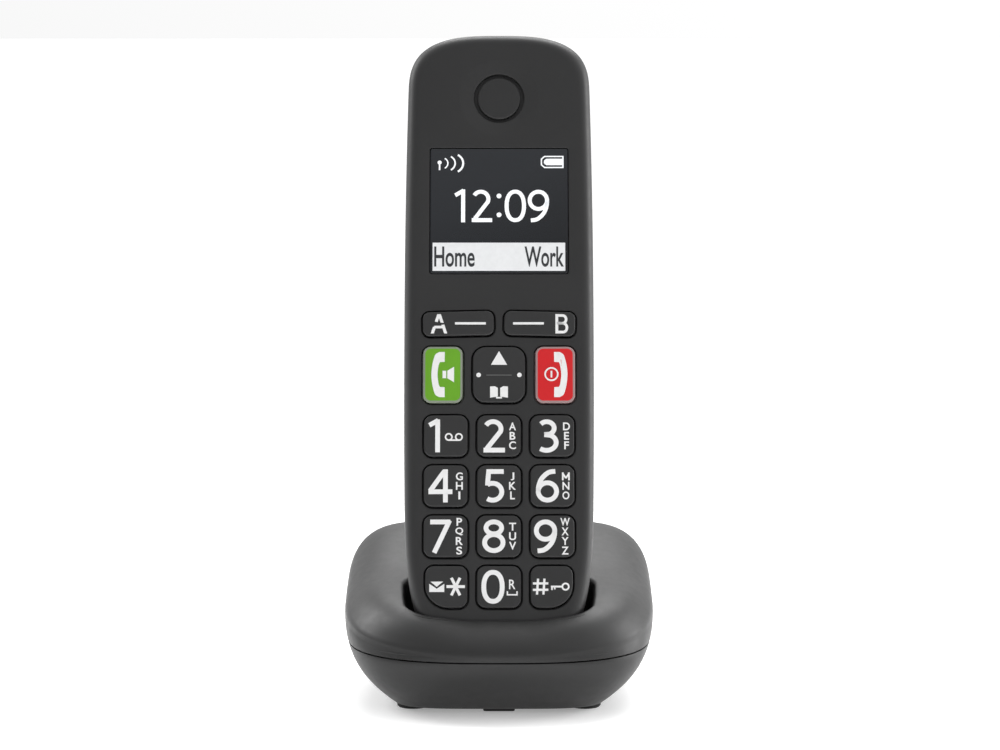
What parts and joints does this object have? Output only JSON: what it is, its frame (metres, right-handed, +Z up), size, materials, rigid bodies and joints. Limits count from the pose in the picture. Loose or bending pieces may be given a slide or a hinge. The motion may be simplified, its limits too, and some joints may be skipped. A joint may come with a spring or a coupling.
{
  "type": "cordless phone with charging base",
  "caption": "Cordless telephone handset with large round-cornered keys and a framed display, standing upright in a low rounded-square charging base.",
  "frame": {"origin": "on the table, under the middle of the base", "axes": "+Z up, -Y out of the front, +X to the viewer's right"},
  "size_m": [0.0792, 0.08, 0.1689],
  "materials": {
    "shell_plastic": "fine spark-eroded grain",
    "key_plastic": "satin",
    "key_green": "satin, translucent rim",
    "key_red": "satin, translucent rim",
    "window_plastic": "polished",
    "panel_glass": "polished",
    "light_guide": "satin",
    "steel": "plated",
    "board": "solder mask",
    "foot_rubber": "matte",
    "mat_rubber": "matte",
    "cell_sleeve": "shrink sleeve",
    "socket_plastic": "matte"
  },
  "bodies": {
    "base": {"base_top_shell": "shell_plastic", "base_bottom_shell": "shell_plastic", "rubber_feet": "foot_rubber", "base_pcb": "board", "line_jack": "socket_plastic", "power_jack": "socket_plastic", "base_screws": "steel", "base_antenna": "steel", "paging_switch": "socket_plastic", "contact_carrier": "shell_plastic"},
    "paging_key": {"paging_key": "key_plastic"},
    "charge_contact_left": {"charge_contact_left": "steel"},
    "charge_contact_right": {"charge_contact_right": "steel"},
    "handset": {"handset_front_shell": "shell_plastic", "handset_rear_shell": "shell_plastic", "display_window": "window_plastic", "display_panel": "panel_glass", "display_backlight": "light_guide", "earpiece_cover": "shell_plastic", "receiver_capsule": "steel", "keypad_mat": "mat_rubber", "dome_contacts": "steel", "handset_pcb": "board", "battery_left": "cell_sleeve", "battery_right": "cell_sleeve", "battery_contacts": "steel", "loudspeaker": "steel", "microphone": "steel", "handset_antenna": "steel", "handset_charge_plates": "steel", "handset_screws": "steel"},
    "battery_door": {"battery_door": "shell_plastic"},
    "nav_pivot": {"nav_pivot": "shell_plastic"},
    "nav_key": {"nav_key": "key_plastic"},
    "softkey_a": {"softkey_a": "key_plastic"},
    "softkey_b": {"softkey_b": "key_plastic"},
    "talk_key": {"talk_key": "key_green"},
    "end_key": {"end_key": "key_red"},
    "key_1": {"key_1": "key_plastic"},
    "key_2": {"key_2": "key_plastic"},
    "key_3": {"key_3": "key_plastic"},
    "key_4": {"key_4": "key_plastic"},
    "key_5": {"key_5": "key_plastic"},
    "key_6": {"key_6": "key_plastic"},
    "key_7": {"key_7": "key_plastic"},
    "key_8": {"key_8": "key_plastic"},
    "key_9": {"key_9": "key_plastic"},
    "key_star": {"key_star": "key_plastic"},
    "key_0": {"key_0": "key_plastic"},
    "key_hash": {"key_hash": "key_plastic"}
  },
  "joints": [
    {"name": "handset_lift", "type": "slide", "parent": "base", "child": "handset", "axis": [0, 0.2924, 0.9563], "range_m": [0, 0.06]},
    {"name": "battery_door_pull", "type": "slide", "parent": "handset", "child": "battery_door", "axis": [0, 0.9563, -0.2924], "range_m": [0, 0.03]},
    {"name": "paging_key_press", "type": "slide", "parent": "base", "child": "paging_key", "axis": [0, 0.2588, -0.9659], "range_m": [0, 0.0008], "stiffness_N_per_m": 800, "springref_m": -0.0003},
    {"name": "charge_contact_left_press", "type": "slide", "parent": "base", "child": "charge_contact_left", "axis": [0, 0.2924, 0.9563], "range_m": [-0.0008, 0], "stiffness_N_per_m": 400, "springref_m": 0.0005},
    {"name": "charge_contact_right_press", "type": "slide", "parent": "base", "child": "charge_contact_right", "axis": [0, 0.2924, 0.9563], "range_m": [-0.0008, 0], "stiffness_N_per_m": 400, "springref_m": 0.0005},
    {"name": "softkey_a_press", "type": "slide", "parent": "handset", "child": "softkey_a", "axis": [0, 0.9563, -0.2924], "range_m": [0, 0.0007], "stiffness_N_per_m": 800, "springref_m": -0.0003},
    {"name": "softkey_b_press", "type": "slide", "parent": "handset", "child": "softkey_b", "axis": [0, 0.9563, -0.2924], "range_m": [0, 0.0007], "stiffness_N_per_m": 800, "springref_m": -0.0003},
    {"name": "talk_key_press", "type": "slide", "parent": "handset", "child": "talk_key", "axis": [0, 0.9563, -0.2924], "range_m": [0, 0.0007], "stiffness_N_per_m": 800, "springref_m": -0.0003},
    {"name": "end_key_press", "type": "slide", "parent": "handset", "child": "end_key", "axis": [0, 0.9563, -0.2924], "range_m": [0, 0.0007], "stiffness_N_per_m": 800, "springref_m": -0.0003},
    {"name": "key_1_press", "type": "slide", "parent": "handset", "child": "key_1", "axis": [0, 0.9563, -0.2924], "range_m": [0, 0.0007], "stiffness_N_per_m": 800, "springref_m": -0.0003},
    {"name": "key_2_press", "type": "slide", "parent": "handset", "child": "key_2", "axis": [0, 0.9563, -0.2924], "range_m": [0, 0.0007], "stiffness_N_per_m": 800, "springref_m": -0.0003},
    {"name": "key_3_press", "type": "slide", "parent": "handset", "child": "key_3", "axis": [0, 0.9563, -0.2924], "range_m": [0, 0.0007], "stiffness_N_per_m": 800, "springref_m": -0.0003},
    {"name": "key_4_press", "type": "slide", "parent": "handset", "child": "key_4", "axis": [0, 0.9563, -0.2924], "range_m": [0, 0.0007], "stiffness_N_per_m": 800, "springref_m": -0.0003},
    {"name": "key_5_press", "type": "slide", "parent": "handset", "child": "key_5", "axis": [0, 0.9563, -0.2924], "range_m": [0, 0.0007], "stiffness_N_per_m": 800, "springref_m": -0.0003},
    {"name": "key_6_press", "type": "slide", "parent": "handset", "child": "key_6", "axis": [0, 0.9563, -0.2924], "range_m": [0, 0.0007], "stiffness_N_per_m": 800, "springref_m": -0.0003},
    {"name": "key_7_press", "type": "slide", "parent": "handset", "child": "key_7", "axis": [0, 0.9563, -0.2924], "range_m": [0, 0.0007], "stiffness_N_per_m": 800, "springref_m": -0.0003},
    {"name": "key_8_press", "type": "slide", "parent": "handset", "child": "key_8", "axis": [0, 0.9563, -0.2924], "range_m": [0, 0.0007], "stiffness_N_per_m": 800, "springref_m": -0.0003},
    {"name": "key_9_press", "type": "slide", "parent": "handset", "child": "key_9", "axis": [0, 0.9563, -0.2924], "range_m": [0, 0.0007], "stiffness_N_per_m": 800, "springref_m": -0.0003},
    {"name": "key_star_press", "type": "slide", "parent": "handset", "child": "key_star", "axis": [0, 0.9563, -0.2924], "range_m": [0, 0.0007], "stiffness_N_per_m": 800, "springref_m": -0.0003},
    {"name": "key_0_press", "type": "slide", "parent": "handset", "child": "key_0", "axis": [0, 0.9563, -0.2924], "range_m": [0, 0.0007], "stiffness_N_per_m": 800, "springref_m": -0.0003},
    {"name": "key_hash_press", "type": "slide", "parent": "handset", "child": "key_hash", "axis": [0, 0.9563, -0.2924], "range_m": [0, 0.0007], "stiffness_N_per_m": 800, "springref_m": -0.0003},
    {"name": "nav_tilt_sideways", "type": "hinge", "parent": "handset", "child": "nav_pivot", "pos_m": [0, -0.00978, 0.08307], "axis": [0, 0.2924, 0.9563], "range_deg": [-2.5, 2.5], "stiffness_Nm_per_rad": 0.15},
    {"name": "nav_tilt_lengthways", "type": "hinge", "parent": "nav_pivot", "child": "nav_key", "pos_m": [0, -0.00978, 0.08307], "axis": [1, 0, 0], "range_deg": [-2.5, 2.5], "stiffness_Nm_per_rad": 0.15}
  ]
}
